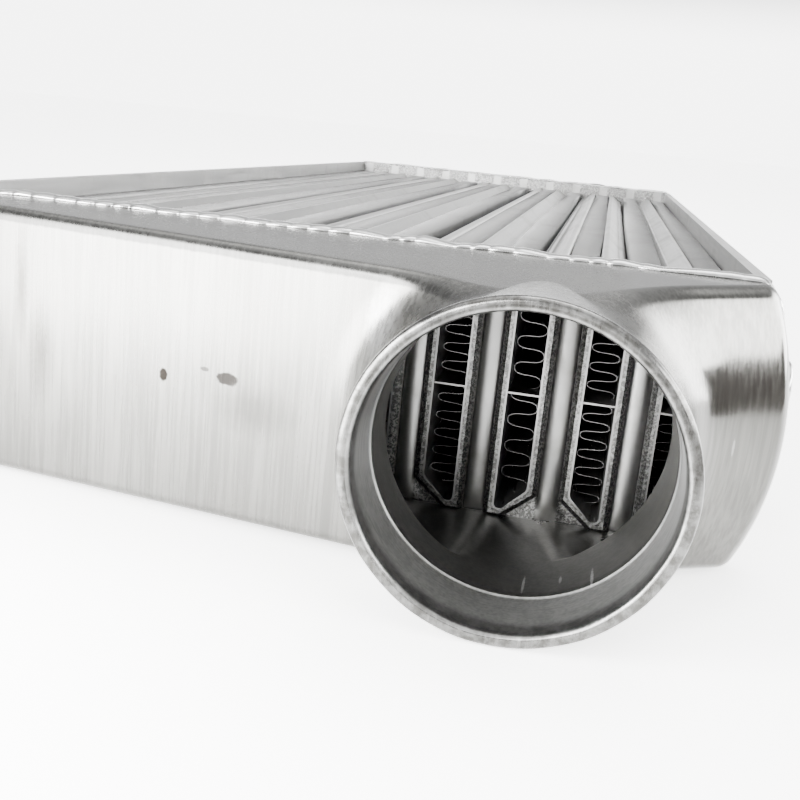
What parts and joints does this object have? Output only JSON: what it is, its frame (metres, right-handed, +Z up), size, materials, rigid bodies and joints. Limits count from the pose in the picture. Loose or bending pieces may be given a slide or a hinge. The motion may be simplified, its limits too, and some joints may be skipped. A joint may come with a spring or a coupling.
{
  "type": "intercooler",
  "caption": "Charge air cooler with a flat tube and fin core, two wedge shaped cast end tanks with round hose necks, welded headers, side plates and threaded side bosses.",
  "frame": {"origin": "middle of the underside of the core", "axes": "+X along the tanks towards the necks' side, +Y along the tubes from the outlet tank to the inlet tank, +Z up through the core"},
  "size_m": [0.278, 0.7094, 0.0784],
  "materials": {
    "cast_tank": "sanded casting with machined neck",
    "header_sheet": "satin sheet",
    "side_sheet": "satin sheet",
    "tube_sheet": "brazed, dull",
    "turbulator_foil": "bright foil",
    "fin_foil": "brazed foil",
    "turned_boss": "turned",
    "weld_bead": "rippled weld"
  },
  "bodies": {
    "root": {"outlet_tank": "cast_tank", "inlet_tank": "cast_tank", "outlet_header": "header_sheet", "inlet_header": "header_sheet", "left_side_plate": "side_sheet", "right_side_plate": "side_sheet", "tube_01": "tube_sheet", "tube_02": "tube_sheet", "tube_03": "tube_sheet", "tube_04": "tube_sheet", "tube_05": "tube_sheet", "tube_06": "tube_sheet", "tube_07": "tube_sheet", "tube_08": "tube_sheet", "tube_09": "tube_sheet", "tube_10": "tube_sheet", "tube_11": "tube_sheet", "lower_turbulator_01": "turbulator_foil", "lower_turbulator_02": "turbulator_foil", "lower_turbulator_03": "turbulator_foil", "lower_turbulator_04": "turbulator_foil", "lower_turbulator_05": "turbulator_foil", "lower_turbulator_06": "turbulator_foil", "lower_turbulator_07": "turbulator_foil", "lower_turbulator_08": "turbulator_foil", "lower_turbulator_09": "turbulator_foil", "lower_turbulator_10": "turbulator_foil", "lower_turbulator_11": "turbulator_foil", "upper_turbulator_01": "turbulator_foil", "upper_turbulator_02": "turbulator_foil", "upper_turbulator_03": "turbulator_foil", "upper_turbulator_04": "turbulator_foil", "upper_turbulator_05": "turbulator_foil", "upper_turbulator_06": "turbulator_foil", "upper_turbulator_07": "turbulator_foil", "upper_turbulator_08": "turbulator_foil", "upper_turbulator_09": "turbulator_foil", "upper_turbulator_10": "turbulator_foil", "upper_turbulator_11": "turbulator_foil", "air_fin_01": "fin_foil", "air_fin_02": "fin_foil", "air_fin_03": "fin_foil", "air_fin_04": "fin_foil", "air_fin_05": "fin_foil", "air_fin_06": "fin_foil", "air_fin_07": "fin_foil", "air_fin_08": "fin_foil", "air_fin_09": "fin_foil", "air_fin_10": "fin_foil", "air_fin_11": "fin_foil", "air_fin_12": "fin_foil", "right_outlet_boss": "turned_boss", "right_inlet_boss": "turned_boss", "left_outlet_boss": "turned_boss", "left_inlet_boss": "turned_boss", "outlet_weld": "weld_bead", "inlet_weld": "weld_bead"}
  },
  "joints": []
}
